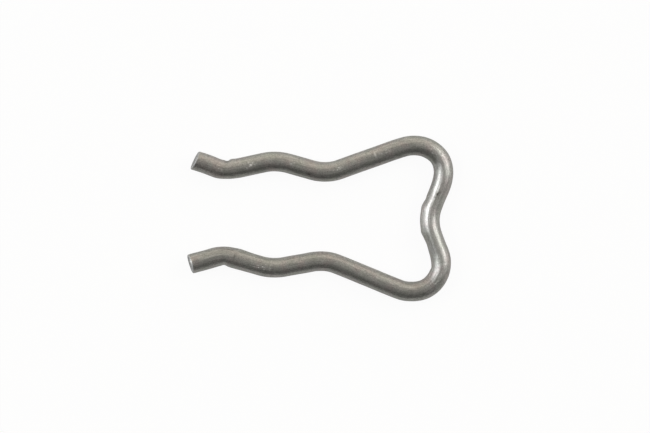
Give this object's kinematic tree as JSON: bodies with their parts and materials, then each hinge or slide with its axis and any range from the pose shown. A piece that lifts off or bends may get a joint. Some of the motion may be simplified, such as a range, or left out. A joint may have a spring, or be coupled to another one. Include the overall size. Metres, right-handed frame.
{
  "type": "fuel line spring clip",
  "caption": "Flat spring clip of bent round steel wire: flared tips lead to a curved seat that snaps over a fuel line, behind it a pinched neck, splayed legs and a closed end with a dip.",
  "frame": {"origin": "on the axis of the line that the seat grips, in the plane the clip lies on", "axes": "+X from the seat to the closed end, +Y across the clip to the upper tip in the picture, +Z along the line's axis, up from the plane the clip lies on"},
  "size_m": [0.0268, 0.017, 0.002],
  "materials": {
    "spring_steel": "satin, warm grey, with fine drawing lines and a few forming marks"
  },
  "bodies": {
    "root": {"spring_clip": "spring_steel"}
  },
  "joints": []
}
